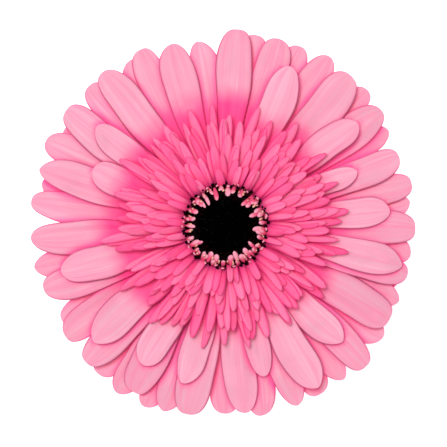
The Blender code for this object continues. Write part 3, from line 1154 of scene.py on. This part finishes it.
# Bract whorls, lowest first: piece, the solid it stands for, base radius and height, tip radius
# and height and width (all in mm), and how many there are.
BRACT_RINGS = (
    ("bracts_low", "bracts_outer", 6.6, 6.9, 13.2, 10.0, 3.6, 15),
    ("bracts_middle", "bracts_outer", 8.3, 8.0, 16.0, 11.6, 3.9, 18),
    ("bracts_high", "bracts_inner", 10.8, 9.6, 19.3, 13.4, 4.2, 21),
)
BRACT_SHAPE = {
    "Thickness": 0.55 * MM, "Claw": 0.75, "Widest": 0.35, "Blunt": 1.25, "Swing": 1.0,
    "Rise": 1.0, "Cup": 0.22, "Roll": 0.08, "Angle scatter": 0.1, "Reach scatter": 0.03,
    "Height scatter": 0.2 * MM,
}


class BLOOM_OT_bracts(bpy.types.Operator):
    """Grow the whorls of green bracts under the petals"""

    bl_idname = "bloom.bracts"
    bl_label = "Bracts"

    def execute(self, context):
        skin = bract_finish(context.scene.bloom_green)
        for ring, (name, node, *place) in enumerate(BRACT_RINGS):
            values = {**BRACT_SHAPE, "Seed": 61 + ring, "Material": skin}
            ring_piece(name, node, "bract_green", ring, place, values)
        return {"FINISHED"}


STUB_SIDES = 112
STUB_RIBS = 14
RIB_DEPTH = 0.13 * MM
RIB_END = 0.45
PITH_RADIUS = 2.9 * MM
HOLLOW_RADIUS = 0.9 * MM
HOLLOW_DEPTH = 1.6 * MM
CUT_ROUNDING = 0.12 * MM
PROFILE_STEP = 0.45 * MM
PROFILE_PASSES = 6


def base_profile():
    """Radius and height down the outside of the base, from the solid's own rings, rounded."""
    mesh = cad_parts["flower_base"].data
    rings = set()
    for point in mesh.vertices:
        radius = math.hypot(point.co.x - AXIS[0], point.co.y - AXIS[1])
        if radius > 1.0 * MM:
            rings.add((round(point.co.z, 4), round(radius, 4)))
    corners = sorted(rings)
    fine = []
    for (z, r), (next_z, next_r) in zip(corners, corners[1:]):
        steps = max(1, round(math.hypot(next_z - z, next_r - r) / PROFILE_STEP))
        fine += [(z + (next_z - z) * k / steps, r + (next_r - r) * k / steps) for k in range(steps)]
    fine.append(corners[-1])
    heights, radii = (np.array(column) for column in zip(*fine))
    for _ in range(PROFILE_PASSES):
        for line in (radii, heights):
            line[1:-1] = line[1:-1] * 0.5 + (line[:-2] + line[2:]) * 0.25
    return heights, radii


def base_rings():
    """Rings from the hollow in the cut face up to the top of the cup: radius, height, pith, ribs, and
    shaded_top, the mark for painted shade on the cup's top.
    """
    heights, radii = base_profile()
    cut = [
        (0.0, HOLLOW_DEPTH, 1.0),
        (HOLLOW_RADIUS * 0.8, HOLLOW_DEPTH * 0.9, 1.0),
        (HOLLOW_RADIUS, HOLLOW_DEPTH * 0.3, 1.0),
        (HOLLOW_RADIUS * 1.2, 0.12 * MM, 1.0),
        (PITH_RADIUS * 0.7, 0.06 * MM, 1.0),
        (PITH_RADIUS, 0.02 * MM, 0.9),
        (PITH_RADIUS * 1.08, 0.0, 0.25),
        (radii[0] - 0.25 * MM, 0.0, 0.1),
    ]
    rings = [(r, z, pith, 0.0, 0.0) for r, z, pith in cut]
    rib_end = heights.max() * RIB_END
    lip = heights[radii.argmax()]
    for z, r in zip(heights, radii):
        lifted = z + CUT_ROUNDING * (z < 0.1 * MM)
        # The last value marks the cup's top above its widest ring, which the stem skin paints
        # near-black as shade under the florets.
        rings.append((r, lifted, 0.0, max(0.0, 1.0 - z / rib_end), float(z > lip)))
    return [*rings, (0.0, heights[-1], 0.0, 0.0, 1.0)]


class BLOOM_OT_flower_base(bpy.types.Operator):
    """Make the ribbed stem stub with its cut face, and the cup above it"""

    bl_idname = "bloom.flower_base"
    bl_label = "Flower base"

    def execute(self, context):
        first, *rings, last = base_rings()
        angles = np.linspace(0.0, 2 * math.pi, STUB_SIDES, endpoint=False)
        places, pith, shaded_top = [], [], []
        for r, z, core, rib, dark in rings:
            ribbed = r + RIB_DEPTH * rib * np.cos(STUB_RIBS * angles)
            for angle, radius in zip(angles, ribbed):
                x, y = radius * math.cos(angle), radius * math.sin(angle)
                places.append((AXIS[0] + x, AXIS[1] + y, z))
            pith += [core] * STUB_SIDES
            shaded_top += [dark] * STUB_SIDES
        faces = wall_faces(len(rings), STUB_SIDES)
        for pole, start in ((first, 0), (last, len(places) - STUB_SIDES)):
            faces += cap_faces(len(places), start, STUB_SIDES)
            places.append((AXIS[0], AXIS[1], pole[1]))
            pith.append(pole[2])
            shaded_top.append(pole[4])
        mesh = closed_mesh(places, faces, {"pith": pith, "shaded_top": shaded_top})
        skin = stem_finish(context.scene.bloom_green)
        piece_of(mesh, "stem_stub", skin, ["flower_base"])
        return {"FINISHED"}


# Pieces that carry hairs, and how many to the square metre.
HAIRY = (("stem_stub", 3.0e6), ("bracts_low", 1.2e6), ("bracts_middle", 0.8e6))


class BLOOM_OT_hairs(bpy.types.Operator):
    """Grow the fine hairs on the stem stub and the bracts"""

    bl_idname = "bloom.hairs"
    bl_label = "Hairs"

    def execute(self, context):
        skin = hair_finish(context.scene.bloom_green)
        tree = bpy.data.node_groups.get("fine_hairs") or hair_tree()
        for number, (surface, density) in enumerate(HAIRY):
            carrier = bpy.data.objects[surface]
            values = {"Surface": carrier, "Density": density, "Seed": 71 + number, "Material": skin}
            grown(f"hairs_on_{surface}", tree, values, [], "bract_green")
        return {"FINISHED"}


FLOOR_EDGE = 3.0
KEY_SIZE = 0.36
KEY_PLACE = (-0.11, 0.12, 0.88)

# The height at which the camera's width of view is measured, and the camera's shift off the axis.
PETAL_HEIGHT = 20.0 * MM
CAMERA_OFFSET = (-0.57 * MM, 0.71 * MM)


class BLOOM_OT_stage(bpy.types.Operator):
    """Lay the pale floor, light it softly and hang the camera over the bloom"""

    bl_idname = "bloom.stage"
    bl_label = "Stage"

    def execute(self, context):
        settings = context.scene.bloom_stage
        scene = context.scene
        floor = bpy.data.meshes.new("floor")
        signs = ((-1, -1), (1, -1), (1, 1), (-1, 1))
        corners = [(x * FLOOR_EDGE, y * FLOOR_EDGE, 0.0) for x, y in signs]
        floor.from_pydata(corners, [], [(0, 1, 2, 3)])
        floor.materials.append(floor_finish())
        ground = bpy.data.objects.new("floor", floor)
        scene.collection.objects.link(ground)

        scene.world = bpy.data.worlds.new("white_room")
        scene.world.use_nodes = True
        background = scene.world.node_tree.nodes["Background"]
        background.inputs["Color"].default_value = (1.0, 1.0, 1.0, 1.0)
        background.inputs["Strength"].default_value = settings.room

        lamp = bpy.data.lights.new("key_panel", "AREA")
        lamp.shape = "DISK"
        lamp.size = KEY_SIZE
        lamp.energy = settings.key_power
        key = bpy.data.objects.new("key_panel", lamp)
        key.location = KEY_PLACE
        key.rotation_euler = (-key.location).to_track_quat("-Z", "Y").to_euler()
        scene.collection.objects.link(key)

        lens = bpy.data.cameras.new("camera")
        lens.lens = lens.sensor_width * (settings.distance - PETAL_HEIGHT) / settings.view_width
        camera = bpy.data.objects.new("camera", lens)
        aside, ahead = CAMERA_OFFSET
        camera.location = (AXIS[0] + aside, AXIS[1] + ahead, settings.distance)
        scene.collection.objects.link(camera)
        scene.camera = camera
        scene.view_settings.view_transform = "Standard"
        return {"FINISHED"}


OPERATORS = (
    BLOOM_OT_stage,
    BLOOM_OT_flower_base,
    BLOOM_OT_bracts,
    BLOOM_OT_ray_petals,
    BLOOM_OT_front_petals,
    BLOOM_OT_trans_petals,
    BLOOM_OT_disc_florets,
    BLOOM_OT_centre_buds,
    BLOOM_OT_hairs,
)


class BLOOM_PT_panel(bpy.types.Panel):
    """Lists the steps of the bloom"""

    bl_idname = "BLOOM_PT_panel"
    bl_label = "Gerbera bloom"
    bl_space_type = "VIEW_3D"
    bl_region_type = "UI"
    bl_category = "Bloom"

    def draw(self, context):
        for step in OPERATORS:
            self.layout.operator(step.bl_idname)
        for name in SETTINGS:
            group = getattr(context.scene, name)
            box = self.layout.box()
            for key in group.__annotations__:
                box.prop(group, key)


SETTINGS = {
    "bloom_ray": RayPetalSettings,
    "bloom_trans": TransPetalSettings,
    "bloom_centre": CentreSettings,
    "bloom_green": GreenSettings,
    "bloom_stage": StageSettings,
}


def register():
    for group in (*SETTINGS.values(), *OPERATORS, BLOOM_PT_panel):
        bpy.utils.register_class(group)
    for name, group in SETTINGS.items():
        setattr(bpy.types.Scene, name, bpy.props.PointerProperty(type=group))


def unregister():
    for name in SETTINGS:
        delattr(bpy.types.Scene, name)
    for group in (BLOOM_PT_panel, *reversed(OPERATORS), *SETTINGS.values()):
        bpy.utils.unregister_class(group)


def main():
    register()
    for step in OPERATORS:
        family, _, verb = step.bl_idname.partition(".")
        getattr(getattr(bpy.ops, family), verb)()


if __name__ == "__main__":
    main()
